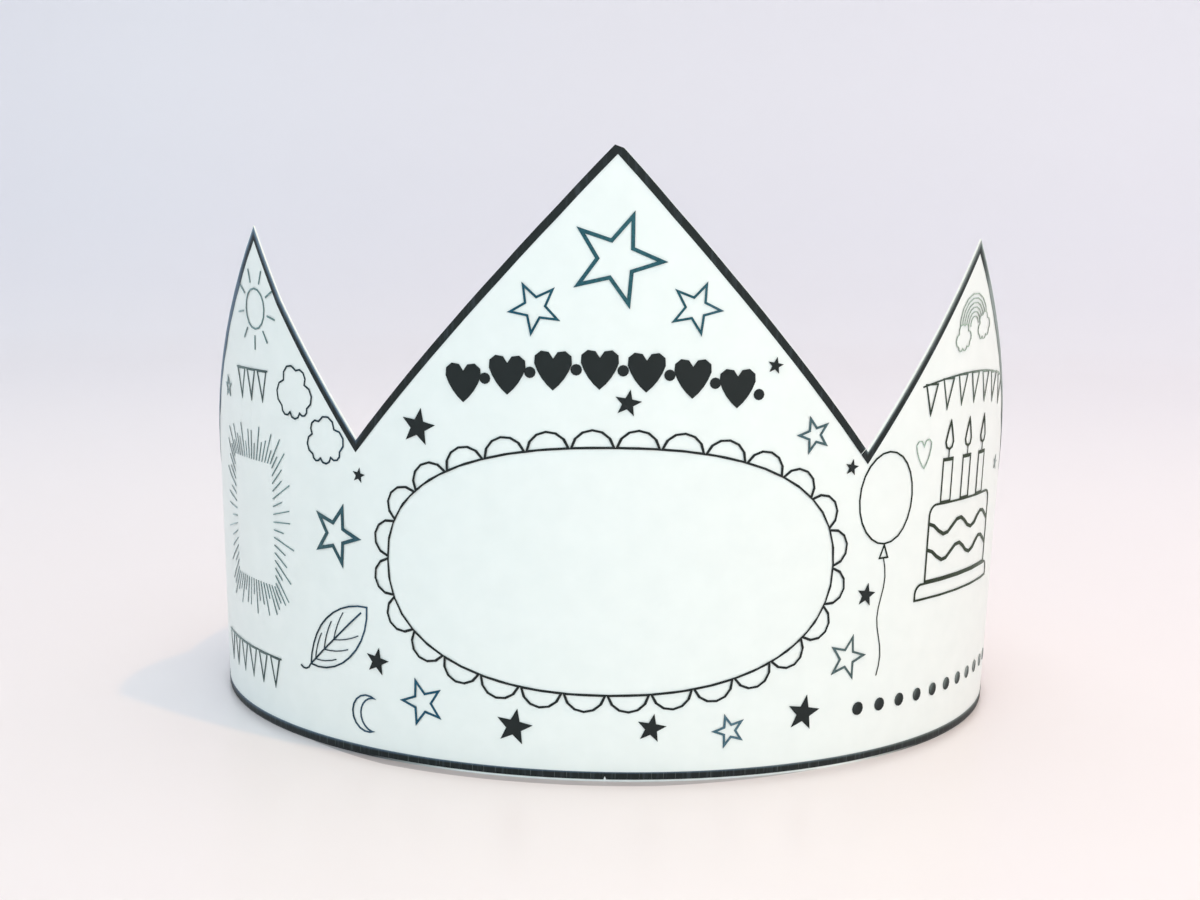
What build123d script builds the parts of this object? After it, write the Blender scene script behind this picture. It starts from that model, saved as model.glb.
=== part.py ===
from build123d import *
from itertools import pairwise
from math import atan, atan2, copysign, cos, degrees, hypot, pi, radians, sin, sqrt
import os

# A child's paper crown: a printed front sheet with three points, bent round and closed at the
# back by a plain strap. All lengths are millimetres. A place is measured along the flat sheet
# from its middle, to the right as the wearer is faced, and a height is measured from the floor.

# The band
band_radius = 90.0      # printed side of the card, at its lower edge
flare = 0.034           # growth of the radius with each millimetre of height
card = 0.3              # thickness of the card
front_length = 297.0    # the front sheet is cut from the long side of one sheet of card
tab_length = 9.5        # level stretch at each end of the front sheet
strap_height = 38.0     # height of the strap, and of the tabs that it is glued to
lap = 14.3              # glued overlap at each end of the strap

# The cut outline of the three points
front_tip = (0.2, 123.6)
left_valley = (-52.2, 64.9)
right_valley = (52.7, 64.6)
left_tip = (-83.2, 106.5)
left_hollow = (-73.4, 91.6)   # where the scissors wandered into the near side of the left point
right_tip = (85.5, 106.6)
snip_fall = 0.35        # slope of the little cut that blunts the front tip
snip_depth = 0.9        # how far below the tip that cut passes

# The printed line along the edge, and the strip of bare card that the scissors left outside it
stripe = 1.5
bottom_margin = 0.4
end_margin = 0.4
tab_margin = 0.4
far_margin = 0.3        # down the far side of both side points
left_margin = 0.3       # up the near side of the left point
front_left_margin = 0.05
front_right_margin = 0.15
right_margin = 0.35     # up the near side of the right point
pen_gap = 0.22          # break in the line at the foot of the front point
pen_gap_place = 0.6     # distance of that break from the right valley
pen_gap_length = 2.0    # how far the break runs down into the sheet

# The ink, a thin skin of flat facets that touch the bent card
ink = 0.1
ink_facets = 72         # all the way round the band
bold = 0.75             # widths of the drawn lines
medium = 0.45
fine = 0.35
hair = 0.22
puff_steps = 4          # straight steps along each short arc of a drawing
ring_sides = 16         # sides of a small ring
dot_sides = 12

# The scalloped oval in the middle
oval_place = 0.4
oval_height = 41.75
oval_half_width = 45.4
oval_half_height = 24.4
oval_squareness = 2.3   # 2 is a true ellipse, more is fuller at the corners
oval_tilt = 0.6         # degrees
scallop_count = 28
scallop_start = -0.0028     # share of a turn from the top of the oval to the first scallop
scallop_crowding = 0.003    # share of a turn that scallops move towards the narrow ends
scallop_rise = 3.6
scallop_foot = 0.07     # share of a scallop's width that its line takes at each foot
oval_steps = 48         # points that the oval line runs through
scallop_steps = 6

# Stars: place, height, size from centre to tip, and for outlined ones a tilt in degrees
star_waist = 0.42
solid_tilt = -10
solid_stars = [
    (-51.8, 57.7, 1.6),
    (-48.0, 20.1, 2.9),
    (-37.7, 68.5, 3.8),
    (-18.0, 10.2, 3.8),
    (2.9, 74.7, 2.7),
    (8.9, 10.8, 3.0),
    (30.8, 82.0, 1.7),
    (40.6, 12.1, 3.8),
    (49.0, 61.4, 1.7),
    (54.6, 35.0, 2.5),
    (108.5, 57.0, 1.8),
]
outline_stars = [
    (0.3, 101.8, 9.7, -20),
    (-14.5, 92.4, 5.5, 28),
    (15.0, 92.9, 5.5, -23),
    (-58.3, 44.9, 7.0, -20),
    (-37.4, 13.1, 5.2, 19),
    (24.5, 9.8, 3.7, 18),
    (39.8, 68.3, 4.0, 18),
    (50.6, 22.4, 5.0, -16),
    (-101.8, 71.3, 2.6, 0),
]
big_star = 6.0          # stars above this size are drawn with the bold line

# A heart's outline, as shares of its width and of its height from the middle
heart_belly = (0.33, -0.16)
heart_side = 0.17
heart_crown = 0.28
heart_dip = 0.3

# The garland of hearts and dots by turns across the front point
garland_count = 14
garland_place = -2.4
garland_height = 81.0
garland_pitch = 8.6
garland_sag = 0.005     # fall towards both ends, for each millimetre squared
heart_width = 7.2
heart_height = 7.6
garland_dot = 1.1

# The row of dots along the lower right
dot_count = 11
dot_start = 54.2
dot_pitch = 6.15
dot_height = 11.4
dot_radius = 1.4

# The left point
sun_place = -84.0
sun_height = 89.2
sun_radius = 4.4
sun_ray_gap = 1.2
sun_ray_length = 3.0
sun_ray_count = 9
sun_ray_turn = 27.0
# Clouds: place, height, width, height from top to bottom, tilt, and -1 for one drawn the other
# way round. The dips between the puffs are shares of half the width and half the height
clouds = [(-69.6, 73.5, 11.8, 11.2, 0, 1), (-61.3, 64.4, 11.0, 9.6, 8, -1)]
cloud_dips = [
    (0.1, 0.7),
    (-0.65, 0.3),
    (-0.8, -0.65),
    (-0.3, -0.85),
    (0.25, -0.85),
    (0.65, -0.65),
    (0.55, 0.2),
]
cloud_puff = 0.4         # rise of each puff, as a share of the distance between its dips
burst_place = -88.9
burst_height = 43.9
burst_width = 20.4
burst_tall = 26.2
burst_rays = 16         # rays along each side of the box
burst_short = 3.4
burst_long = 7.6
burst_mix = 2.4         # step of the wave that mixes long and short rays
leaf_place = -67.0
leaf_height = 16.4
leaf_length = 22.4
leaf_slant = 41.0
leaf_upper = 4.6
leaf_lower = 5.4
leaf_steps = 10
leaf_stem = [(0, 0), (-2.2, 0.3), (-2.9, 1.6)]   # the stem curls upwards
leaf_rib = 0.9          # share of the leaf's length that its midrib reaches
leaf_veins = 3          # pairs
leaf_first_vein = 0.1   # share of the leaf's length before the first pair of veins
leaf_vein_step = 0.17
leaf_vein_lean = 0.26   # share of the leaf's length that a vein reaches forwards
leaf_vein_spread = 0.7  # share of the way to the leaf's edge that a vein reaches
leaf_vein_bow = 0.5
moon_place = -50.8
moon_height = 8.8
moon_horn = (2.2, 3.4)  # tip of a horn, from the middle of the moon
moon_back = 4.0
moon_hollow = 1.5
moon_steps = 12
moon_turn = -3.0

# The right point
rainbow_place = 85.4
rainbow_height = 88.7
rainbow_radius = 6.6
rainbow_pitch = 0.96
rainbow_bands = 6
rainbow_steps = 8
rainbow_tilt = 13.0
rainbow_cloud_place = 4.7
rainbow_cloud_width = 6.8
rainbow_cloud_height = 5.8
rainbow_cloud_drop = 1.1
small_heart_place = 69.2
small_heart_height = 62.7
small_heart_width = 4.9
small_heart_tall = 6.2
small_heart_tilt = 4.0
balloon_place = 58.8
balloon_height = 54.6
balloon_half_width = 7.7
balloon_half_height = 9.6
balloon_sides = 24
balloon_knot = 2.9
string_length = 24.6
string_swing = 0.8
string_swings = 1.5
string_steps = 12
cake_place = 87.9
cake_foot = 35.4
cake_width = 31.5
cake_tall = 16.5
cake_corner = 2.6
plate_overhang = 3.2
plate_tall = 3.7
plate_corner = 2.2
icing_tiers = 2
icing_rise = 1.4
icing_waves = 2.4
icing_steps = 16
candle_count = 3
candle_middle = -1.2    # the middle candle, from the middle of the cake
candle_pitch = 8.6
candle_width = 4.2
candle_tall = 9.4
wick = 1.5
flame_width = 3.5
flame_tall = 6.6
flame_shoulder = 0.58   # share of a flame's width that it keeps halfway from belly to tip

# The strings of pennants: middle, height, number, pitch, rise in the middle
pennant_width = 4.4
pennant_tall = 6.8
pennant_strings = [
    (-87.0, 76.4, 3, 5.2, 0.0),
    (-94.5, 15.2, 6, 5.6, 0.0),
    (88.0, 76.6, 7, 6.0, 2.2),
]

bend_steps = 5          # points along each straight edge of the flat sheet, to follow the bend
reach = 3.0             # how far a cutting block runs past the card on every side


def radius_at(height):
    """Radius of the card's printed side at a height."""
    return band_radius + flare * height


def turn_to(place):
    """Degrees round the band from the middle of the front to a place."""
    return degrees(place / band_radius)


def facing(place):
    """The upright plane through the band's axis that looks outwards at a place."""
    turn = radians(turn_to(place))
    return Plane(origin=(0, 0, 0), x_dir=(cos(turn), sin(turn), 0), z_dir=(sin(turn), -cos(turn), 0))


def seen(point, middle):
    """Where a point of the flat sheet shows when the bent sheet is looked at square on."""
    place, height = point
    return (radius_at(height) * sin(radians(turn_to(place - middle))), height)


def block(drawing, place):
    """A drawing pushed straight through the card, square on at a place."""
    box = drawing.bounding_box()
    half_width = max(box.max.X, -box.min.X)
    near = sqrt(band_radius ** 2 - half_width ** 2) - reach
    far = radius_at(front_tip[1]) + reach
    page = facing(place).offset(near)
    return extrude(page * drawing, amount=far - near, dir=page.z_dir)


def arc_of_card(inside, outside, bottom, top, start, end):
    """The bent strip between two depths, two heights and two places along the sheet."""
    corners = [
        (radius_at(bottom) + inside, bottom),
        (radius_at(bottom) + outside, bottom),
        (radius_at(top) + outside, top),
        (radius_at(top) + inside, top),
    ]
    section = Plane.XZ * make_face(Polyline(*corners, close=True))
    strip = revolve(section, axis=Axis.Z, revolution_arc=turn_to(end - start))
    return Rot(Z=turn_to(start) - 90) * strip


front_half = front_length / 2
tab_start = front_half - tab_length
top_edge = [
    (-front_half - reach, strap_height),
    (-tab_start, strap_height),
    left_tip,
    left_hollow,
    left_valley,
    front_tip,
    right_valley,
    right_tip,
    (tab_start, strap_height),
    (front_half + reach, strap_height),
]
print_margins = [
    bottom_margin,
    end_margin,
    tab_margin,
    far_margin,
    left_margin,
    left_margin,
    front_left_margin,
    front_right_margin,
    right_margin,
    far_margin,
    tab_margin,
]
no_margins = [0.0] * len(print_margins)


def drawn_in(corners, insets):
    """A run of straight edges, each moved down into the sheet by its own inset."""
    moved = []
    for (start, end), inset in zip(pairwise(corners), insets):
        along, up = end[0] - start[0], end[1] - start[1]
        across = inset / hypot(along, up)
        shift = (up * across, -along * across)
        moved.append((start[0] + shift[0], start[1] + shift[1], along, up))
    result = [(moved[0][0], moved[0][1])]
    for (x1, y1, dx1, dy1), (x2, y2, dx2, dy2) in pairwise(moved):
        share = ((x2 - x1) * dy2 - (y2 - y1) * dx2) / (dx1 * dy2 - dy1 * dx2)
        result.append((x1 + share * dx1, y1 + share * dy1))
    last = moved[-1]
    result.append((last[0] + last[2], last[1] + last[3]))
    return result


def followed(corners):
    """Points along straight edges of the flat sheet, close enough to bend smoothly."""
    points = [corners[0]]
    for (x1, y1), (x2, y2) in pairwise(corners):
        for step in range(1, bend_steps + 1):
            share = step / bend_steps
            points.append((x1 + (x2 - x1) * share, y1 + (y2 - y1) * share))
    return points


def polygon(points):
    """The flat shape with these corners."""
    return make_face(Polyline(*points, close=True))


def waste(corners, middle):
    """The block of card that is cut away above a stretch of the top edge."""
    over = front_tip[1] + reach
    start, end = corners[0][0] - reach, corners[-1][0] + reach
    points = [(start, over)] + followed(corners) + [(end, over)]
    return block(polygon([seen(point, middle) for point in points]), middle)


def sheet(inside, outside, margins, inset):
    """The front sheet between two depths, its outline drawn in by the margins and an inset."""
    bottom, end, *tops = [margin + inset for margin in margins]
    half = front_half - end
    edge = drawn_in(top_edge, tops)
    piece = arc_of_card(inside, outside, bottom, front_tip[1], -half, half)
    left, valley, front, other_valley, right = edge[2], edge[4], edge[5], edge[6], edge[7]
    piece -= waste(edge[:3], (edge[0][0] + left[0]) / 2)
    piece -= waste(edge[2:6], valley[0])
    piece -= waste([front, other_valley, right], other_valley[0])
    piece -= waste(edge[7:], (right[0] + edge[-1][0]) / 2)
    return piece


def snip():
    """The block cut away by the slanting snip that blunts the front tip."""
    half = 2 * snip_depth
    low = front_tip[1] - snip_depth
    over = front_tip[1] + reach
    fall = snip_fall * half
    corners = [(-half, low + fall), (half, low - fall), (half, over), (-half, over)]
    return block(polygon(corners), front_tip[0])


def pen_break():
    """The hairline of bare card across the printed line at the foot of the front point."""
    foot = Vector(*right_valley)
    along = (Vector(*front_tip) - foot).normalized()
    middle = foot + along * pen_gap_place
    slot = Rectangle(pen_gap, pen_gap_length, align=(Align.CENTER, Align.MIN))
    return block(Pos(0, middle.Y) * Rot(Z=degrees(atan2(along.Y, along.X))) * slot, middle.X)


def star(size, tilt):
    """A five-pointed star as one closed outline."""
    points = []
    for corner in range(10):
        out = size if corner % 2 == 0 else size * star_waist
        angle = radians(90 + tilt + 36 * corner)
        points.append((out * cos(angle), out * sin(angle)))
    return polygon(points)


def line_round(shape, width):
    """A pen line that runs just inside the outline of a shape."""
    return shape - offset(shape, amount=-width, kind=Kind.INTERSECTION)


def pen_round(shape, width):
    """A pen line centred on the outline of a shape, for outlines with deep dips."""
    return trace(shape.face().outer_wire(), width)


def star_line(size, tilt):
    """The outline of a star, bolder round the big ones."""
    return line_round(star(size, tilt), bold if size > big_star else medium)


def stepped(arc, steps):
    """Points along an arc, up to just before its end."""
    track = ThreePointArc(*arc)
    return [track @ (step / steps) for step in range(steps)]


def filled(arcs, steps=puff_steps):
    """The shape that a closed run of arcs bounds."""
    return polygon([point for arc in arcs for point in stepped(arc, steps)])


def heart(width, tall):
    """A heart with its tip downwards, centred on its height."""
    tip, dip = (0, -tall / 2), (0, tall * heart_dip)
    belly_out, belly_up = heart_belly
    right, left = [], []
    for hand, half in ((1, right), (-1, left)):
        side = (hand * width / 2, tall * heart_side)
        half.append((tip, (hand * width * belly_out, tall * belly_up), side))
        half.append((side, (hand * width * heart_crown, tall / 2), dip))
    return filled(right + [arc[::-1] for arc in reversed(left)])


def dot(radius):
    """A small round dot."""
    return RegularPolygon(radius, dot_sides)


def cloud(width, tall):
    """A cloud whose puffs stand outwards between its dips, which are taken anticlockwise."""
    dips = [(across * width / 2, up * tall / 2) for across, up in cloud_dips]
    puffs = []
    for (x1, y1), (x2, y2) in zip(dips, dips[1:] + dips[:1]):
        crown = ((x1 + x2) / 2 + (y2 - y1) * cloud_puff, (y1 + y2) / 2 - (x2 - x1) * cloud_puff)
        puffs.append(((x1, y1), crown, (x2, y2)))
    return filled(puffs)


def oval_point(share, inset=0.0):
    """A point of the oval, at a share of a turn taken anticlockwise from the top."""
    across, up = -sin(2 * pi * share), cos(2 * pi * share)
    power = 2 / oval_squareness
    across = (oval_half_width - inset) * copysign(abs(across) ** power, across)
    up = (oval_half_height - inset) * copysign(abs(up) ** power, up)
    tilt = radians(oval_tilt)
    return (
        oval_place + across * cos(tilt) - up * sin(tilt),
        oval_height + across * sin(tilt) + up * cos(tilt),
    )


def scallop_stop(count):
    """How far round the oval a scallop ends, as a share of a turn; a half count is its middle."""
    share = count / scallop_count
    return (share + scallop_start + scallop_crowding * sin(4 * pi * share)) % 1


def scallop(start, middle, end, line):
    """The outside of one scallop, and the window of bare card that its line goes round."""
    along = end - start
    out = along.rotate(Axis.Z, -90).normalized()
    crown = middle + out * scallop_rise
    left = start + along * scallop_foot + out * line / 2
    right = end - along * scallop_foot + out * line / 2
    outside = stepped((start, crown, end), scallop_steps)
    window = stepped((left, crown - out * line, right), scallop_steps)
    window += [right, middle + out * line / 2]
    return outside, window


def scalloped_frame():
    """The oval line with its ring of scallops."""
    track = Spline(*[oval_point(step / oval_steps) for step in range(oval_steps)], periodic=True)
    stops = [track @ scallop_stop(half / 2) for half in range(2 * scallop_count)]
    stops.append(stops[0])
    outline, windows = [], []
    for count in range(scallop_count):
        outside, window = scallop(*stops[2 * count:2 * count + 3], medium)
        outline += outside
        windows.append(window)
    inside = [Vector(*oval_point(step / oval_steps, medium / 2)) for step in range(oval_steps)]
    outline, inside, *windows = [
        polygon([seen((point.X, point.Y), oval_place) for point in points])
        for points in [outline, inside] + windows
    ]
    return outline - inside - windows


def pen_line(arc, width):
    """A bent pen stroke through the three points of an arc."""
    return trace(Polyline(*stepped(arc, puff_steps), arc[2]), width)


def stroke(start, end, width):
    """A straight pen stroke from one point to another."""
    return trace(Line(start, end), width)


def sun():
    """A round sun with short rays."""
    drawing = line_round(RegularPolygon(sun_radius, ring_sides), fine)
    near = sun_radius + sun_ray_gap
    far = near + sun_ray_length
    for count in range(sun_ray_count):
        way = Vector(1, 0).rotate(Axis.Z, sun_ray_turn + 360 * count / sun_ray_count)
        drawing += stroke(way * near, way * far, fine)
    return drawing


def burst():
    """Fine rays that stand on the four sides of an empty box and fan out from its middle."""
    drawing = Sketch()
    for side in range(4):
        out, half = (burst_width, burst_tall) if side % 2 == 0 else (burst_tall, burst_width)
        for count in range(burst_rays):
            along = ((count + 0.5) / burst_rays - 0.5) * half
            foot = Vector(out / 2, along)
            swing = 0.5 + 0.5 * sin(burst_mix * (count + side))
            tip = foot + foot.normalized() * (burst_short + (burst_long - burst_short) * swing)
            drawing += Rot(Z=90 * side) * stroke(foot, tip, hair)
    return drawing


def leaf():
    """A veined leaf lying along a slant, with its stem at the origin."""
    base, tip = (0, 0), (leaf_length, 0)
    upper = (base, (leaf_length / 2, leaf_upper), tip)
    lower = (base, (leaf_length / 2, -leaf_lower), tip)
    drawing = line_round(filled([upper, lower[::-1]], leaf_steps), fine)
    drawing += pen_line(leaf_stem, fine)
    drawing += stroke(base, (leaf_length * leaf_rib, 0), fine)
    for count in range(leaf_veins):
        share = leaf_first_vein + leaf_vein_step * count
        foot = Vector(leaf_length * share, 0)
        for edge, hand in ((upper, 1), (lower, -1)):
            beside = ThreePointArc(*edge) @ (share + leaf_vein_lean)
            end = Vector(beside.X, beside.Y * leaf_vein_spread)
            bowed = (foot + end) / 2 + Vector(-leaf_vein_bow / 2, hand * leaf_vein_bow / 2)
            drawing += pen_line([foot, bowed, end], hair)
    return Rot(Z=leaf_slant) * drawing


def moon():
    """The outline of a crescent moon."""
    across, up = moon_horn
    horns = [(across, up), (across, -up)]
    arcs = [(horns[0], (-moon_back, 0), horns[1]), (horns[1], (-moon_hollow, 0), horns[0])]
    return Rot(Z=moon_turn) * line_round(filled(arcs, moon_steps), fine)


def rainbow():
    """Bands of a rainbow that end in two clouds."""
    drawing = Sketch()
    for band in range(rainbow_bands):
        radius = rainbow_radius - band * rainbow_pitch
        turns = [pi * step / rainbow_steps for step in range(rainbow_steps + 1)]
        drawing += trace(Polyline(*[(radius * cos(turn), radius * sin(turn)) for turn in turns]), hair)
    puffs = cloud(rainbow_cloud_width, rainbow_cloud_height)
    for hand, shape in ((-1, puffs), (1, mirror(puffs, about=Plane.YZ))):
        place = Pos(hand * rainbow_cloud_place, -rainbow_cloud_drop)
        drawing = drawing - place * shape + place * pen_round(shape, hair)
    return Rot(Z=rainbow_tilt) * drawing


def balloon():
    """A balloon with its knot and a string that swings a little as it hangs."""
    bottom = -balloon_half_height
    turns = [2 * pi * side / balloon_sides for side in range(balloon_sides)]
    skin = polygon([(balloon_half_width * sin(turn), balloon_half_height * cos(turn)) for turn in turns])
    drawing = line_round(skin, fine)
    knot_foot = bottom - balloon_knot
    corners = [(0, bottom + fine), (-balloon_knot / 2, knot_foot), (balloon_knot / 2, knot_foot)]
    drawing += line_round(polygon(corners), fine)
    hang = knot_foot + fine / 2
    swings = []
    for step in range(string_steps + 1):
        share = step / string_steps
        swing = string_swing * sin(2 * pi * string_swings * share)
        swings.append((swing, hang - string_length * share))
    return drawing + trace(Polyline(*swings), hair)


def cake():
    """A cake on its plate, with two wavy lines of icing and lit candles."""
    body = Pos(0, cake_tall / 2) * Rectangle(cake_width, cake_tall)
    top = body.vertices().group_by(Axis.Y)[-1]
    drawing = line_round(fillet(top, cake_corner), medium)
    plate = Pos(0, -plate_tall / 2) * Rectangle(cake_width + 2 * plate_overhang, plate_tall)
    drawing += line_round(fillet(plate.vertices().group_by(Axis.Y)[-1], plate_corner), medium)
    for tier in range(1, icing_tiers + 1):
        middle = cake_tall * tier / (icing_tiers + 1)
        wave = []
        for step in range(icing_steps + 1):
            share = step / icing_steps
            across = (share - 0.5) * (cake_width - medium)
            wave.append((across, middle + icing_rise * cos(2 * pi * icing_waves * share)))
        drawing += trace(Polyline(*wave), bold)
    for count in range(candle_count):
        place = candle_middle + (count - (candle_count - 1) / 2) * candle_pitch
        drawing += Pos(place, cake_tall) * candle()
    return drawing


def candle():
    """One candle with its wick and flame, standing on the origin."""
    stick = Pos(0, candle_tall / 2) * Rectangle(candle_width, candle_tall)
    drawing = line_round(stick, fine)
    drawing += Pos(0, candle_tall - bold / 2) * Rectangle(candle_width, bold)
    drawing += stroke((0, candle_tall - fine), (0, candle_tall + wick + fine), hair)
    foot = candle_tall + wick
    belly, tip = foot + flame_width / 2, foot + flame_tall
    left, right = (-flame_width / 2, belly), (flame_width / 2, belly)
    shoulder = (flame_width / 2 * flame_shoulder, (belly + tip) / 2)
    sides = [
        (right, shoulder, (0, tip)),
        ((0, tip), (-shoulder[0], shoulder[1]), left),
        (left, (0, foot), right),
    ]
    return drawing + line_round(filled(sides), medium)


def pennants(count, pitch, rise):
    """Pennants that hang from a string, which may bow upwards in the middle."""
    half = count * pitch / 2
    drawing = Sketch()
    if rise:
        string = ThreePointArc((-half, 0), (0, rise), (half, 0))
    else:
        string = Line((-half, 0), (half, 0))
    drawing += trace(string, fine)
    corners = [(-pennant_width / 2, 0), (pennant_width / 2, 0), (0, -pennant_tall)]
    flag = polygon(corners)
    for k in range(count):
        hook = string @ ((k + 0.5) / count)
        drawing += Pos(hook.X, hook.Y) * line_round(flag, fine)
    return drawing


def garland():
    """Hearts and dots by turns, lower towards both ends of the row."""
    drawings = []
    for count in range(garland_count):
        along = (count - garland_count / 2 + 1) * garland_pitch / 2
        height = garland_height - garland_sag * along ** 2
        shape = heart(heart_width, heart_height) if count % 2 == 0 else dot(garland_dot)
        drawings.append((shape, garland_place + along, height))
    return drawings


def drawn_clouds():
    """Two outlined clouds on the left point."""
    drawings = []
    for place, height, width, tall, tilt, hand in clouds:
        outline = pen_round(cloud(width, tall), fine)
        if hand < 0:
            outline = mirror(outline, about=Plane.YZ)
        drawings.append((Rot(Z=tilt) * outline, place, height))
    return drawings


def small_heart():
    """A tilted heart in outline."""
    return Rot(Z=small_heart_tilt) * line_round(heart(small_heart_width, small_heart_tall), hair)


def ink_block(outside):
    """A block with flat sides that touch the band at a depth outside the card."""
    base = RegularPolygon(band_radius + outside, ink_facets, major_radius=False)
    return extrude(base, front_tip[1], taper=-degrees(atan(flare)))


# Every drawing with its place and height on the sheet
drawings = {
    "scalloped_frame": [(scalloped_frame(), oval_place, 0)],
    "solid_stars": [(star(size, solid_tilt), place, up) for place, up, size in solid_stars],
    "outline_stars": [(star_line(size, tilt), place, up) for place, up, size, tilt in outline_stars],
    "heart_garland": garland(),
    "dot_row": [(dot(dot_radius), dot_start + k * dot_pitch, dot_height) for k in range(dot_count)],
    "drawn_sun": [(sun(), sun_place, sun_height)],
    "drawn_clouds": drawn_clouds(),
    "ray_burst": [(burst(), burst_place, burst_height)],
    "drawn_leaf": [(leaf(), leaf_place, leaf_height)],
    "drawn_moon": [(moon(), moon_place, moon_height)],
    "drawn_rainbow": [(rainbow(), rainbow_place, rainbow_height)],
    "drawn_heart": [(small_heart(), small_heart_place, small_heart_height)],
    "drawn_balloon": [(balloon(), balloon_place, balloon_height)],
    "drawn_cake": [(cake(), cake_place, cake_foot)],
    "pennant_strings": [(pennants(*flags), place, up) for place, up, *flags in pennant_strings],
}

# The printed line is the ink between two outlines, one drawn in further than the other
line_outside = sheet(0, ink, print_margins, 0) - snip()
line_inside = sheet(-ink, 2 * ink, print_margins, stripe)
printable = (ink_block(ink) - ink_block(0)) & line_inside
strap_start = front_half - lap
strap_end = 2 * pi * band_radius - strap_start
nodes = {
    "front_sheet": sheet(-card, 0, no_margins, 0) - snip(),
    "back_strap": arc_of_card(-2 * card, -card, 0, strap_height, strap_start, strap_end),
    "printed_border": line_outside - line_inside - pen_break(),
}
for name, group in drawings.items():
    pieces = []
    for drawing, place, height in group:
        pieces += (block(Pos(0, height) * drawing, place) & printable).solids()
    nodes[name] = Compound(pieces)

# The band stands round the origin so that the middle of the whole crown is over it
front_reach = radius_at(front_tip[1])
back_reach = radius_at(strap_height) - card
centring = (front_reach - back_reach) / 2
os.makedirs("parts", exist_ok=True)
for name, piece in nodes.items():
    export_step(Pos(0, centring, 0) * piece, f"parts/{name}.step")
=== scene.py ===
# %% [markdown]
# # A child's paper party crown
#
# The real crown is a sheet of thin white card with three tall points. Its drawings are printed
# in black and dark teal, and a plain low strap closes the ring behind. The sheet, the strap and
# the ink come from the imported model, so this lesson adds what makes them look like paper and
# print: the finish of the card, the finish of the ink, the table and the light.
#
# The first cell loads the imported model. Every piece of it keeps its place, and all that follows
# is measured from it in metres.

from math import cos, pi, radians, sin
from types import SimpleNamespace

import bmesh
import bpy
from mathutils import Matrix, Vector


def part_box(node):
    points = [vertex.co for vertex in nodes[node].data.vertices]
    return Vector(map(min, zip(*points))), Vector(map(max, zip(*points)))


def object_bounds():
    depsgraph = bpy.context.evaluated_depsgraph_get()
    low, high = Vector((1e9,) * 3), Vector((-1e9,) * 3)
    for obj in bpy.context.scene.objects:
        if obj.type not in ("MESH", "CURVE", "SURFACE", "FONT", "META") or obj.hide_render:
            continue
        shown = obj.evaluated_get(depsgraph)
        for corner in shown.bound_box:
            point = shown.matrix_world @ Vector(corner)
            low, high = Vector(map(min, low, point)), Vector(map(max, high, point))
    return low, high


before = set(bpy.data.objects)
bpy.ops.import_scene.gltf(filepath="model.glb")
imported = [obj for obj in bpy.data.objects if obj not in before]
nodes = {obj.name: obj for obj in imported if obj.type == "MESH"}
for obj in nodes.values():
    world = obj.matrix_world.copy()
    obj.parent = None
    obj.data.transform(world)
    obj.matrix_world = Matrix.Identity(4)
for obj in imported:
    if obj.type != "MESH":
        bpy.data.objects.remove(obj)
cad_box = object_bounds()
MM = 0.001
print(f"{len(nodes)} pieces, from {tuple(round(c / MM, 1) for c in cad_box[0])}", end=" ")
print(f"to {tuple(round(c / MM, 1) for c in cad_box[1])} mm")

# %% [markdown]
# ## The camera
#
# The photograph was taken from a little above the crown, almost square on to its front point.
# A lens is chosen first, because it sets how strongly the near side of the ring is enlarged.
# Then the camera is set down at the distance where the ring has its true width, and tipped
# downwards until the lower edge bows as it does in the photograph.

# %% Camera
camera_place = Vector((-1.6, -429.6, 109.9)) * MM
camera_dip = radians(7.43)
camera_turn = radians(0.09)
camera_roll = radians(1.1)

camera = bpy.data.objects.new("camera", bpy.data.cameras.new("camera"))
bpy.context.scene.collection.objects.link(camera)
camera.data.sensor_width = 36
camera.data.lens = 54
camera.data.clip_start = 0.01
camera.matrix_world = (
    Matrix.Translation(camera_place)
    @ Matrix.Rotation(camera_turn, 4, "Z")
    @ Matrix.Rotation(radians(90) - camera_dip, 4, "X")
    @ Matrix.Rotation(camera_roll, 4, "Z")
)
bpy.context.scene.camera = camera
print(f"camera {camera.data.lens:.0f} mm, {camera_place.length:.3f} m from the crown")

# %% [markdown]
# ## Measuring the bent sheet
#
# The crown is one flat sheet bent round a slightly flared ring, so a place on it is easiest to
# give as on the flat sheet: how far along from the middle of the front, and how high. The ring's
# middle and its radius can be read off the plain strap, whose back is furthest out. Everything
# that follows the sheet, such as the grain of the print, is then worked out from them.

# %% The ring
flare = 0.034
card_thickness = 0.3 * MM

strap_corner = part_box("back_strap")[1]
strap_radius = strap_corner.x
band_radius = strap_radius + card_thickness - flare * strap_corner.z
ring_middle = Vector((0, strap_corner.y - strap_radius, 0))
print(f"radius {band_radius / MM:.1f} mm at the floor,", end=" ")
print(f"middle {ring_middle.y / MM:.2f} mm behind the origin")

# %% [markdown]
# ## Sums inside a material
#
# A material in Blender is a tree of nodes, and every sum in it is a node of its own. The nodes can
# be made and linked one at a time, but a formula then disappears among its links. Here a small
# class stands for a node's output. A sum of two of them makes the math node and links it, so that
# a finish further down reads as it would on paper.

# %% Numbers that make their own nodes
def add(tree, kind, settings=None, **sockets):
    """Adds a node; settings are its properties, sockets are values or outputs for its inputs.

    A socket is named with low lines for spaces, or by its number after a low line.
    """
    node = tree.nodes.new(kind)
    for name, value in (settings or {}).items():
        setattr(node, name, value)
    for name, value in sockets.items():
        key = int(name[1:]) if name[0] == "_" else name.replace("_", " ")
        if isinstance(value, Number):
            value = value.socket
        if isinstance(value, bpy.types.NodeSocket):
            tree.links.new(value, node.inputs[key])
        else:
            node.inputs[key].default_value = value
    return node


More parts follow.
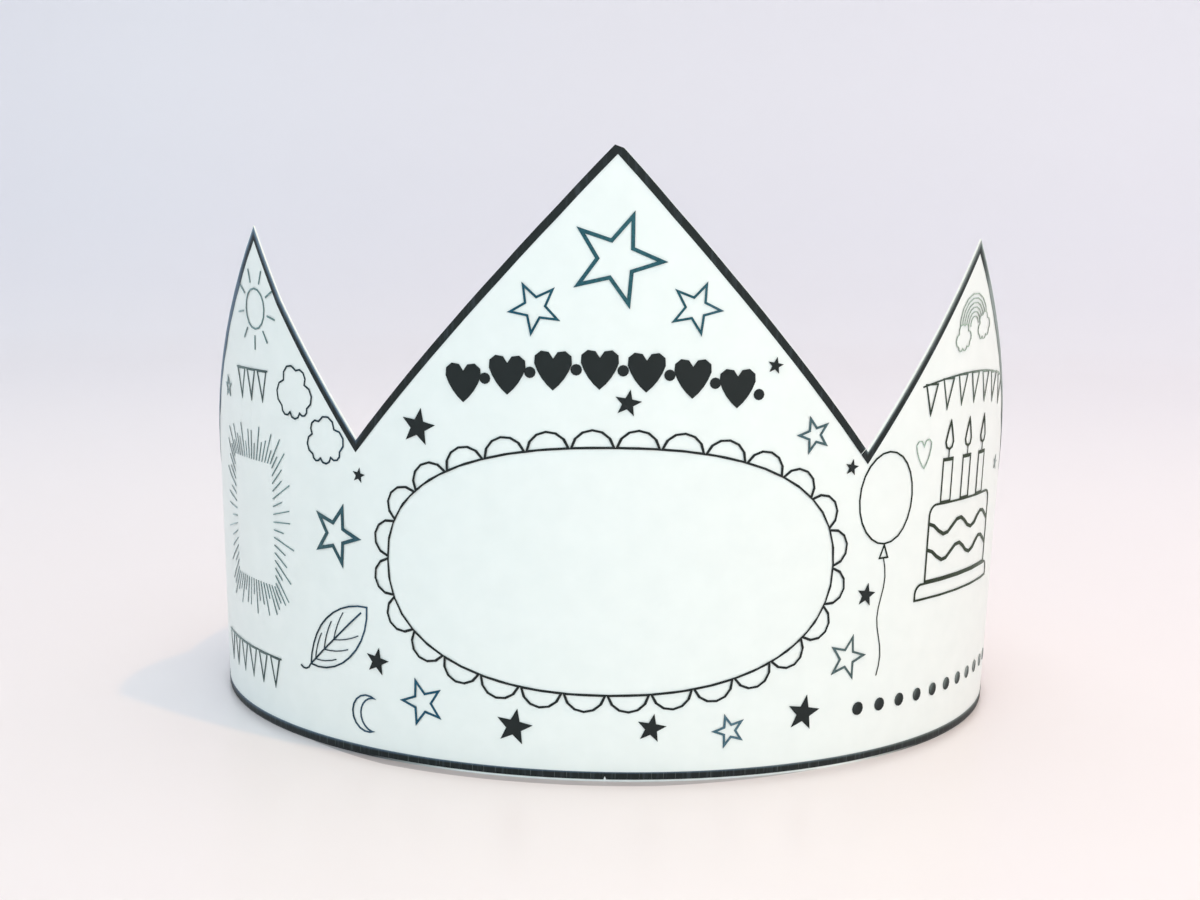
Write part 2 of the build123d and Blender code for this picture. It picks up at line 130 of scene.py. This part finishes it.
def calculate(tree, operation, first, second=0.0):
    """The result of a math node."""
    return Number(tree, add(tree, "ShaderNodeMath", {"operation": operation}, _0=first, _1=second))


class Number:
    """A node's output that can be used in a sum like a plain number. A comparison gives 1 or 0."""

    def __init__(self, tree, node, output=0):
        self.tree = tree
        self.socket = node.outputs[output]

    def __add__(self, other):
        return calculate(self.tree, "ADD", self, other)

    def __sub__(self, other):
        return calculate(self.tree, "SUBTRACT", self, other)

    def __rsub__(self, other):
        return calculate(self.tree, "SUBTRACT", other, self)

    def __mul__(self, other):
        return calculate(self.tree, "MULTIPLY", self, other)

    def __truediv__(self, other):
        return calculate(self.tree, "DIVIDE", self, other)

    def __mod__(self, other):
        return calculate(self.tree, "FLOORED_MODULO", self, other)

    def __lt__(self, other):
        return calculate(self.tree, "LESS_THAN", self, other)

    def __gt__(self, other):
        return calculate(self.tree, "GREATER_THAN", self, other)

    def __abs__(self):
        return calculate(self.tree, "ABSOLUTE", self)


def smaller(first, second):
    """The smaller of two numbers."""
    return calculate(first.tree, "MINIMUM", first, second)


def larger(first, second):
    """The larger of two numbers."""
    return calculate(first.tree, "MAXIMUM", first, second)


def between(value, start, end, low=0.0, high=1.0):
    """A value spread from low at start to high at end, and held beyond them."""
    return Number(value.tree, add(value.tree, "ShaderNodeMapRange", Value=value, From_Min=start,
                                  From_Max=end, To_Min=low, To_Max=high))


def vector_node(tree, operation, first, second=(0, 0, 0)):
    """A vector math node."""
    return add(tree, "ShaderNodeVectorMath", {"operation": operation}, _0=first, _1=second)


def separate(tree, vector):
    """The three numbers of a vector."""
    node = add(tree, "ShaderNodeSeparateXYZ", Vector=vector)
    return tuple(Number(tree, node, axis) for axis in "XYZ")


def combine(tree, first, second, third):
    """A vector of three numbers."""
    return add(tree, "ShaderNodeCombineXYZ", X=first, Y=second, Z=third).outputs["Vector"]


print("math nodes are made by +, -, *, /, %, <, > and abs")

# %% [markdown]
# ## Finding a place on the sheet inside a material
#
# A texture that is laid straight through space would be cut askew by a curved sheet: its stripes
# would run wide at the sides. A node group can unroll the sheet instead. It turns a point into
# its angle round the ring, and the angle into millimetres along the sheet. The same group gives
# the direction that faces straight out of the ring. The ink lies in narrow flat facets, and with
# that direction as its normal it shines as one smooth bend.

# %% A node group that unrolls the sheet
def unrolling_group():
    """A group with outputs Flat (along, up, depth in millimetres) and Outward."""
    group = bpy.data.node_groups.new("unrolled sheet", "ShaderNodeTree")
    for name in ("Flat", "Outward"):
        group.interface.new_socket(name, in_out="OUTPUT", socket_type="NodeSocketVector")
    point = add(group, "ShaderNodeTexCoord").outputs["Object"]
    from_middle = vector_node(group, "SUBTRACT", point, ring_middle).outputs["Vector"]
    right, back, rise = separate(group, from_middle)
    radius = calculate(group, "SQRT", right * right + back * back)
    along = calculate(group, "ARCTAN2", right, back * -1) * (band_radius / MM)
    flat = combine(group, along, rise / MM, (radius - band_radius) / MM)
    outward = vector_node(group, "NORMALIZE", combine(group, right, back, radius * -flare))
    out = add(group, "NodeGroupOutput")
    group.links.new(flat, out.inputs["Flat"])
    group.links.new(outward.outputs["Vector"], out.inputs["Outward"])
    return group


unrolled = unrolling_group()
print(f"{unrolled.name}: {len(unrolled.nodes)} nodes")

# %% [markdown]
# ## Small helpers for the materials
#
# Every finish below is built from the same few parts: a shader, some noise, a ramp of colours and
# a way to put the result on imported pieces. The noise is given a size in millimetres, so that the
# grain of card and the mottle of ink can be set as they would be measured on the real crown.

# %% Helpers for materials
def new_material(name, roughness, specular):
    """A material with its tree, its shader and where each of its points lies on the flat sheet."""
    material = bpy.data.materials.new(name)
    material.use_nodes = True
    tree = material.node_tree
    shader = tree.nodes["Principled BSDF"]
    shader.inputs["Roughness"].default_value = roughness
    shader.inputs["Specular IOR Level"].default_value = specular
    sheet = add(tree, "ShaderNodeGroup", {"node_tree": unrolled})
    flat, outward = sheet.outputs["Flat"], sheet.outputs["Outward"]
    along, up, depth = separate(tree, flat)
    return SimpleNamespace(material=material, tree=tree, shader=shader, flat=flat, outward=outward,
                           along=along, up=up, depth=depth)


def noise(finish, size, detail=2.0, stretch=(1, 1, 1)):
    """Noise on the flat sheet whose blotches are about so many millimetres across."""
    place = vector_node(finish.tree, "MULTIPLY", finish.flat, stretch).outputs["Vector"]
    node = add(finish.tree, "ShaderNodeTexNoise", Vector=place, Scale=1 / size, Detail=detail)
    return Number(finish.tree, node, "Fac")


def bump(finish, height, strength, distance, normal):
    """A normal tilted by a height map, with the distance in millimetres."""
    node = add(finish.tree, "ShaderNodeBump", Strength=strength, Distance=distance * MM,
               Height=height, Normal=normal)
    return node.outputs["Normal"]


def ramp(value, *stops):
    """Colours along a value, given as (position, colour)."""
    node = add(value.tree, "ShaderNodeValToRGB", Fac=value)
    while len(node.color_ramp.elements) < len(stops):
        node.color_ramp.elements.new(0.5)
    for element, (position, colour) in zip(node.color_ramp.elements, stops):
        element.position = position
        element.color = (*colour, 1)
    return node.outputs["Color"]


# A mix node's sockets go by number, because those for vectors and for colours share their names
MIX_VECTORS, MIX_VECTOR_RESULT = (4, 5), 1
MIX_COLOURS, MIX_COLOUR_RESULT = (6, 7), 2


def blend(share, first, second):
    """A linked colour mixed by a share with a second one, which may be linked or plain."""
    mix = add(share.tree, "ShaderNodeMix", {"data_type": "RGBA"}, _0=share)
    under, over = (mix.inputs[number] for number in MIX_COLOURS)
    share.tree.links.new(first, under)
    if isinstance(second, bpy.types.NodeSocket):
        share.tree.links.new(second, over)
    else:
        over.default_value = (*second, 1)
    return mix.outputs[MIX_COLOUR_RESULT]


def multiply(tree, first, second):
    """Two colours multiplied."""
    mix = add(tree, "ShaderNodeMix", {"data_type": "RGBA", "blend_type": "MULTIPLY"}, _0=1.0)
    for number, colour in zip(MIX_COLOURS, (first, second)):
        tree.links.new(colour, mix.inputs[number])
    return mix.outputs[MIX_COLOUR_RESULT]


def coloured(finish, colour):
    """The finished material, with its colour linked to its shader."""
    finish.tree.links.new(colour, finish.shader.inputs["Base Color"])
    return finish.material


def dress(material, *names):
    """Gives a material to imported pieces."""
    for name in names:
        nodes[name].data.materials.clear()
        nodes[name].data.materials.append(material)
    print(f"{material.name}: {', '.join(names)}")


print(f"noise and bumps are sized in millimetres, {1 / MM:.0f} to the metre")

# %% [markdown]
# ## The card
#
# The sheet is thin white card with a satin face. Under soft light it is nearly even, but it has
# three scales of detail: a cloudy tone a few millimetres wide from the pulp, a fine grain of
# fibres that breaks up the sheen, and a slow waviness left by bending and handling. The tone goes
# into the colour, and the other two go into bump nodes, one after the other.
#
# The imported sheet is made of flat strips. Shading it by its own normals would show them, so the
# broad faces take the ring's own direction, turned inwards for the inside, and only the cut
# edges keep their own normals.
#
# Below the printed line a narrow margin of card stays bare. On the real crown it shows white only
# in the middle of the front and black towards the sides. The margin belongs to the card here, so
# its outside is coloured black there.

# %% Card
broad_face = 0.8            # cosine between a face and the ring's direction, above which it is broad
pulp_size = 5.0
fibre_size = 0.18
wave_size = 34.0
margin_top = 0.42
margin_middle = 12.0        # the bare part of the margin lies a little to the right
bare_reach, black_reach = 40.0, 62.0
dark_margin_colour = (0.02, 0.024, 0.024)
front_half_length = 148.5   # half of the printed sheet's flat length, past which the strap shows


def smooth_normal(finish):
    """The ring's direction on the broad faces of a sheet, and the true normal on its cut edges."""
    tree = finish.tree
    true = add(tree, "ShaderNodeNewGeometry").outputs["True Normal"]
    cosine = Number(tree, vector_node(tree, "DOT_PRODUCT", true, finish.outward), "Value")
    side = calculate(tree, "SIGN", cosine)
    turned = add(tree, "ShaderNodeVectorMath", {"operation": "SCALE"}, _0=finish.outward, Scale=side)
    mix = add(tree, "ShaderNodeMix", {"data_type": "VECTOR"}, _0=abs(cosine) > broad_face)
    for number, normal in zip(MIX_VECTORS, (true, turned.outputs["Vector"])):
        tree.links.new(normal, mix.inputs[number])
    return mix.outputs[MIX_VECTOR_RESULT]


def card_material():
    """White card, black on the outside of its lower margin towards the sides."""
    card = new_material("white card", roughness=0.46, specular=0.45)
    tone = ramp(noise(card, pulp_size, detail=3.0),
                (0.3, (0.872, 0.9, 0.868)), (0.7, (0.9, 0.925, 0.892)))
    on_front = abs(card.along) < front_half_length
    outside = card.depth > -card_thickness / MM / 2
    black_margin = between(abs(card.along - margin_middle), bare_reach, black_reach)
    black_margin = black_margin * (card.up < margin_top) * on_front * outside

    fibres = noise(card, fibre_size, detail=4.0, stretch=(0.5, 1, 1))
    waves = noise(card, wave_size, detail=1.0)
    slow = bump(card, waves, strength=0.15, distance=1.0, normal=smooth_normal(card))
    fine = bump(card, fibres, strength=0.12, distance=0.02, normal=slow)
    card.tree.links.new(fine, card.shader.inputs["Normal"])
    return coloured(card, blend(black_margin, tone, dark_margin_colour))


dress(card_material(), "front_sheet", "back_strap")

# %% [markdown]
# ## How far a place lies from the cut edge
#
# The broad printed line follows the cut edge, and its finish changes across its width. A material
# can follow it too if it knows how far each place lies from the cut. The edge is a zigzag of
# straight cuts. The distance from one straight cut is a single dot product, because the group
# above has unrolled the sheet. The smaller of two distances makes a point, and the larger of two
# makes a valley, so a few such steps follow the whole zigzag.

# %% Distance from the cut edge
left_foot, left_tip, left_hollow = (-139.0, 38.0), (-83.2, 106.5), (-73.4, 91.6)
left_valley, front_tip, right_valley = (-52.2, 64.9), (0.2, 123.6), (52.7, 64.6)
right_tip, right_foot = (85.5, 106.6), (139.0, 38.0)


def inside_cut(finish, start, end):
    """How many millimetres a place lies inside a straight cut that runs to the right."""
    run = Vector((end[0] - start[0], end[1] - start[1], 0)).normalized()
    inwards = Vector((run.y, -run.x, 0))
    reach = Number(finish.tree, vector_node(finish.tree, "DOT_PRODUCT", finish.flat, inwards), "Value")
    return reach - inwards.dot(Vector((*start, 0)))


def inside_edge(finish):
    """How many millimetres a place lies inside the whole zigzag edge."""
    hollow = larger(inside_cut(finish, left_tip, left_hollow),
                    inside_cut(finish, left_hollow, left_valley))
    left = smaller(inside_cut(finish, left_foot, left_tip), hollow)
    front = smaller(inside_cut(finish, left_valley, front_tip),
                    inside_cut(finish, front_tip, right_valley))
    right = smaller(inside_cut(finish, right_valley, right_tip),
                    inside_cut(finish, right_tip, right_foot))
    return larger(larger(left, front), right)


print(f"the front point is {front_tip[1]} mm high, its valleys {left_valley[1]}", end=" ")
print(f"and {right_valley[1]} mm")

# %% [markdown]
# ## The printed line round the edge
#
# The broad line is powder ink that was melted on to the card, close to black. Four things keep it
# from looking like plain black paint. Where the card bends round the sides, the outer half of the
# line is paled by painted sheen, blue-grey on the left and grey-green on the right, and on the far
# slopes of the side points all of it is. The line along the lower edge has such a painted pale
# upper edge too, which widens towards the sides. Bending has cracked the ink there into fine
# upright hairlines, one every 2.38 mm, and streaks run down the whole line. Last, the line is
# nicked at the middle of the lower edge, where its two ends meet.
#
# A lamp could be placed to make the shine, but the rest of the crown would change with it. So the
# shine is painted sheen: it and each mark is a share from 0 to 1, worked out from the place on the
# sheet, which pales the ink.

# %% Ink of the printed line
ink_black = (0.0175, 0.0215, 0.0215)
edge_margin = 0.3           # bare card outside the line, along the points
lower_margin = 0.4          # bare card below the line, along the lower edge
stripe_width = 1.5
low_zone = 2.2              # below this height the line is the one along the lower edge
slope_start, slope_end = 50.0, 84.0     # the front point's feet and the tips of the side points
far_start = 92.0            # past here the line lies on the far slopes
crack_pitch = 2.38
crack_shift = 0.34
powder_size = 0.15
streak_size = 0.9
crack_gap = 1.7             # size of the noise that breaks up the cracks
notch_place = 0.03
notch_top = 1.05
notch_half_width = 0.26


def ink_material(name):
    """A new ink with the fine grain of powder."""
    ink = new_material(name, roughness=0.5, specular=0.16)
    powder = noise(ink, powder_size, detail=3.0)
    grain = bump(ink, powder, strength=0.2, distance=0.02, normal=ink.outward)
    ink.tree.links.new(grain, ink.shader.inputs["Normal"])
    return ink


def painted_sheen(share, along):
    """The tone of ink paled by a share of painted sheen: blue-grey on the left, grey-green on the
    right.
    """
    cool = ramp(share, (0.0, ink_black), (0.35, (0.035, 0.050, 0.062)),
                (0.7, (0.105, 0.155, 0.21)), (1.0, (0.25, 0.35, 0.44)))
    warm = ramp(share, (0.0, ink_black), (0.35, (0.034, 0.044, 0.040)),
                (0.7, (0.145, 0.18, 0.172)), (1.0, (0.42, 0.48, 0.46)))
    return blend(between(along, 5, 70), cool, warm)


def painted_sheen_share(ink, low):
    """How much painted sheen pales the line at each place."""
    # painted sheen on the near slopes, on the far slopes and along the upper edge of the lower line
    sideways = abs(ink.along)
    across = (inside_edge(ink) - edge_margin) / stripe_width
    reach = between(sideways, slope_start, slope_end, 0.30, 0.80)
    near_slope_sheen = between(1.0 - across / reach, 0, 1) * between(sideways, slope_start, slope_start + 4)

    far_tip = between(ink.along, -90, 90, 0.66, 0.82)
    far_slope_sheen = between(ink.up, 40, 100, 0.94, far_tip) * between(sideways, slope_end, far_start)
    far_slope_sheen = far_slope_sheen * (1.0 - low)

    from_top = 1.0 - (ink.up - lower_margin) / stripe_width
    low_reach = between(sideways, 0, 115, 0.24, 0.62)
    low_edge_sheen = between(1.0 - from_top / low_reach, 0, 1) * low * 0.8
    return larger(larger(near_slope_sheen, far_slope_sheen), low_edge_sheen)


def crack_share(ink, low):
    """A thin pale line at every crack, broken up by noise."""
    from_crack = calculate(ink.tree, "PINGPONG", (ink.along + crack_shift) / crack_pitch, 0.5)
    strength = between(noise(ink, crack_gap, detail=0.0), 0.4, 0.6, 0.25, 1.0)
    return between(from_crack, 0.01, 0.035, 0.16, 0.0) * strength * low


def notch_share(ink):
    """A small upright nick in the line, widest at its foot."""
    half_width = between(ink.up, lower_margin, notch_top, notch_half_width, 0.0)
    return (abs(ink.along - notch_place) < half_width) * (ink.up < notch_top)


def edge_line_material():
    """Black with its painted sheen, its streaks, its cracks and its notch laid over each other by
    turns.
    """
    ink = ink_material("ink of the edge line")
    low = ink.up < low_zone
    streaks = between(noise(ink, streak_size, stretch=(1, 0.12, 1)), 0.52, 0.72, 0.0, 0.035)
    # painted sheen first, then the streaks, cracks and notch of the real print
    colour = painted_sheen(painted_sheen_share(ink, low), ink.along)
    colour = blend(streaks, colour, (0.55, 0.68, 0.80))
    colour = blend(crack_share(ink, low), colour, (0.45, 0.50, 0.48))
    colour = blend(notch_share(ink), colour, (0.86, 0.89, 0.89))
    return coloured(ink, colour)


dress(edge_line_material(), "printed_border")

# %% [markdown]
# ## The filled shapes
#
# The scalloped frame, the filled stars, the hearts and the dots are the same black, and painted
# sheen pales them towards the sides like the line. Round the right side each dot has a painted
# highlight at its upper left, where its skin of ink would catch the light, and stays black at its
# lower right. The dots are evenly spaced, so one repeating saw-tooth along the sheet gives the place
# inside every dot at once.

# %% Ink of the filled shapes
mottle_size = 1.1
dot_place = 54.2
dot_height = 11.4
dot_pitch = 6.15


def black_material():
    """Black that painted sheen pales towards the sides, with a mottle that breaks the sheen up."""
    ink = ink_material("black ink")
    # painted sheen: the black pales towards the sides, and a mottle breaks the sheen up
    side = between(abs(ink.along), 45, 110, 0.0, 0.98)
    mottle = between(noise(ink, mottle_size), 0.4, 0.7, 0.0, 0.12)
    return coloured(ink, painted_sheen((side + mottle) * side, ink.along))


def dot_material():
    """Black with a painted highlight at the upper left of every dot, more so towards the side."""
    ink = ink_material("ink of the dots")
    from_dot = (ink.along - dot_place + dot_pitch / 2) % dot_pitch - dot_pitch / 2
    # painted highlight at the upper left of each dot, stronger towards the right side
    upper_left = (ink.up - dot_height) * 0.6 - from_dot
    turned = between(ink.along, 50, 112, -0.15, 0.75)
    dot_highlight = between(turned + upper_left * 0.32, 0, 1)
    return coloured(ink, painted_sheen(dot_highlight, ink.along))


dress(black_material(), "scalloped_frame", "solid_stars", "heart_garland")
dress(dot_material(), "dot_row")

# %% [markdown]
# ## The thin lines
#
# The small drawings are thin lines, and no two parts of the sheet show them in quite the same
# colour. Ink that thin lets some card show through, so the stars in front look teal. The drawings
# round the left side carry a painted blue tint and those round the right side a painted green
# one, the tints of the light on the two sides. Towards both ends of the sheet painted sheen pales
# the lines, and the strings of pennants fade out there, and the finest lines of all are pale
# throughout. One function makes all of these inks from a list of tones along the sheet, and noise
# makes each line break up slightly, as a thin printed line does.

# %% Thin line ink
tone_reach = 120            # the tones are given this far to both sides of the middle
break_size = 0.5


def line_material(name, *tones):
    """Line ink whose colour, with its painted tints and sheen, is given at places along the sheet in
    millimetres.
    """
    ink = ink_material(name)
    # the tones hold the ink's own colour, painted tints of the light on the two sides and painted sheen
    # towards both ends
    share = between(ink.along, -tone_reach, tone_reach)
    stops = [((place + tone_reach) / (2 * tone_reach), tone) for place, tone in tones]
    break_up = ramp(noise(ink, break_size, detail=3.0),
                    (0.35, (0.85, 0.85, 0.85)), (0.8, (1.6, 1.6, 1.6)))
    return coloured(ink, multiply(ink.tree, ramp(share, *stops), break_up))


star_ink = line_material(
    "teal star ink",
    (-102, (0.34, 0.43, 0.43)), (-80, (0.10, 0.17, 0.18)),
    (-58, (0.034, 0.085, 0.10)), (-37, (0.012, 0.075, 0.125)), (-14, (0.012, 0.072, 0.105)),
    (0, (0.028, 0.10, 0.118)), (15, (0.015, 0.078, 0.10)), (25, (0.075, 0.145, 0.185)),
    (40, (0.060, 0.11, 0.12)), (51, (0.08, 0.12, 0.12)))
line_ink = line_material(
    "line ink",
    (-110, (0.10, 0.18, 0.18)), (-75, (0.010, 0.030, 0.036)), (-60, (0.014, 0.032, 0.045)),
    (-50, (0.032, 0.075, 0.12)), (55, (0.010, 0.017, 0.012)), (75, (0.022, 0.034, 0.019)),
    (95, (0.032, 0.050, 0.028)), (110, (0.15, 0.19, 0.15)))
hairline_ink = line_material(
    "hairline ink",
    (-112, (0.50, 0.60, 0.60)), (-95, (0.42, 0.52, 0.52)), (-84, (0.15, 0.25, 0.25)),
    (65, (0.38, 0.52, 0.42)), (85, (0.40, 0.50, 0.41)), (100, (0.45, 0.52, 0.45)))
pennant_ink = line_material(
    "pennant ink",
    (-112, (0.42, 0.50, 0.49)), (-98, (0.17, 0.23, 0.22)), (-78, (0.045, 0.07, 0.068)),
    (66, (0.018, 0.030, 0.020)), (82, (0.075, 0.11, 0.085)), (98, (0.26, 0.32, 0.27)),
    (112, (0.48, 0.54, 0.49)))
dress(star_ink, "outline_stars")
dress(line_ink, "drawn_clouds", "drawn_leaf", "drawn_moon", "drawn_balloon", "drawn_cake")
dress(pennant_ink, "pennant_strings")
dress(hairline_ink, "ray_burst", "drawn_sun", "drawn_rainbow", "drawn_heart")

# %% [markdown]
# ## The table and backdrop
#
# The crown stands on a seamless sweep of pale paper, with no line between table and wall. A
# round cove gives that from every side: a floor that curves up into a wall, made by spinning one
# profile about the crown. Three ramps of colour make its tone: warm white on the floor and
# lavender on the wall, then painted light that leaves it a little darker on the left than on the
# right and brightest behind the crown. The paper has a slight gloss. A thin strip of painted shade
# follows the front of the lower edge, where the real sheet doesn't quite touch the table. It is
# painted on the floor, because the packed crown stands level and leaves no such gap.

# %% Sweep
floor_reach = 0.9
cove_radius = 0.7
wall_top = 1.8
cove_steps = 12
spin_steps = 96
strip_width = 2.9
painted_shade_darkness = 0.42
strip_left = (-67.5, -45.0)     # the strip widens from nothing here
strip_right = (9.0, 45.0)       # and narrows to nothing here


def sweep_mesh():
    """The cove's profile, spun once round the crown."""
    shape = bmesh.new()
    profile = [(0.0, 0.0), (floor_reach, 0.0)]
    for step in range(1, cove_steps + 1):
        turn = pi / 2 * step / cove_steps
        profile.append((floor_reach + cove_radius * sin(turn), cove_radius * (1 - cos(turn))))
    profile.append((floor_reach + cove_radius, wall_top))
    corners = [shape.verts.new((out, 0, up)) for out, up in profile]
    edges = [shape.edges.new(pair) for pair in zip(corners, corners[1:])]
    bmesh.ops.spin(shape, geom=corners + edges, cent=(0, 0, 0), axis=(0, 0, 1), angle=2 * pi,
                   steps=spin_steps, use_duplicate=False)
    bmesh.ops.remove_doubles(shape, verts=shape.verts, dist=0.01 * MM)
    for face in shape.faces:
        face.smooth = True
    mesh = bpy.data.meshes.new("sweep")
    shape.to_mesh(mesh)
    shape.free()
    return mesh


def sweep_material():
    """Pale paper toned by height, with painted light by side and by distance and a painted shade strip.
    """
    paper = new_material("pale sweep", roughness=0.3, specular=0.5)
    point = add(paper.tree, "ShaderNodeTexCoord").outputs["Object"]
    right, back, rise = separate(paper.tree, point)
    by_height = ramp(between(rise, 0, 0.1), (0.0, (0.86, 0.815, 0.838)), (0.15, (0.85, 0.82, 0.855)),
                     (0.45, (0.825, 0.80, 0.847)), (1.0, (0.818, 0.80, 0.853)))
    # painted light: darker on the left than on the right, and brightest behind the crown
    painted_light_by_side = ramp(between(right, -0.8, 0.8), (0.1, (0.857, 0.885, 0.909)), (0.22, (0.90, 0.93, 0.945)),
                   (0.5, (0.95, 0.95, 0.9525)), (0.8, (1.0, 0.98, 0.98)))
    painted_light_by_distance = ramp(between(back, -0.2, 1.0), (0.08, (0.965, 0.965, 0.96)),
                       (0.4, (1.0, 1.0, 0.995)), (0.75, (0.97, 0.97, 0.98)))
    colour = multiply(paper.tree, multiply(paper.tree, by_height, painted_light_by_side), painted_light_by_distance)

    # painted shade: a thin dark strip on the floor just in front of the lower edge
    shade_strip_width = between(paper.along, *strip_left, 0.0, strip_width)
    shade_strip_width = shade_strip_width * between(paper.along, *strip_right, 1.0, 0.0)
    shade = (abs(paper.depth) < shade_strip_width) * painted_shade_darkness
    return coloured(paper, blend(shade, colour, (0.02, 0.02, 0.05)))


sweep = bpy.data.objects.new("sweep", sweep_mesh())
bpy.context.scene.collection.objects.link(sweep)
sweep.location.z = cad_box[0].z
sweep.data.materials.append(sweep_material())
print(f"sweep: {len(sweep.data.polygons)} faces, {2 * (floor_reach + cove_radius):.1f} m across")

# %% [markdown]
# ## Light
#
# The photograph has one faint shadow. It falls to the left, it is short, and its edge is crisp. A
# crisp edge needs a small lamp and a short shadow a high one, so the main lamp is under two
# centimetres wide and stands high up at the front right. It is weak and warm, which leaves the
# shadow pale and a little blue. Most of the light comes from a white room that shines evenly from
# all sides, as a cloudy day does through large windows. Two wide lamps in front add to it: a cool
# one on the left and a slightly green one on the right, because the two sides of the card differ
# in tone.

# %% Lamps
room_colour = (1.0, 1.02, 0.985, 1)
room_strength = 1.42
crown_middle = (0, 0, 0.05)


def lamp(name, place, size, power, colour):
    """A square area lamp that faces the crown."""
    light = bpy.data.lights.new(name, "AREA")
    light.size = size
    light.energy = power
    light.color = colour
    holder = bpy.data.objects.new(name, light)
    bpy.context.scene.collection.objects.link(holder)
    holder.location = place
    holder.rotation_euler = (Vector(crown_middle) - Vector(place)).to_track_quat("-Z", "Y").to_euler()
    print(f"{name}: {power} W, {size} m across")


lamp("main lamp", (0.175, -0.216, 0.856), 0.015, 1.44, (1.0, 0.44, 0.06))
lamp("front fill", (-0.5, -1.1, 0.55), 0.9, 2.3, (0.17, 0.83, 1.0))
lamp("side fill", (0.75, -1.0, 0.5), 0.9, 3.75, (0.86, 1.0, 0.94))

world = bpy.data.worlds.new("room")
world.use_nodes = True
background = world.node_tree.nodes["Background"]
background.inputs["Color"].default_value = room_colour
background.inputs["Strength"].default_value = room_strength
bpy.context.scene.world = world
bpy.context.scene.view_settings.view_transform = "Standard"
print(f"room: strength {room_strength}")
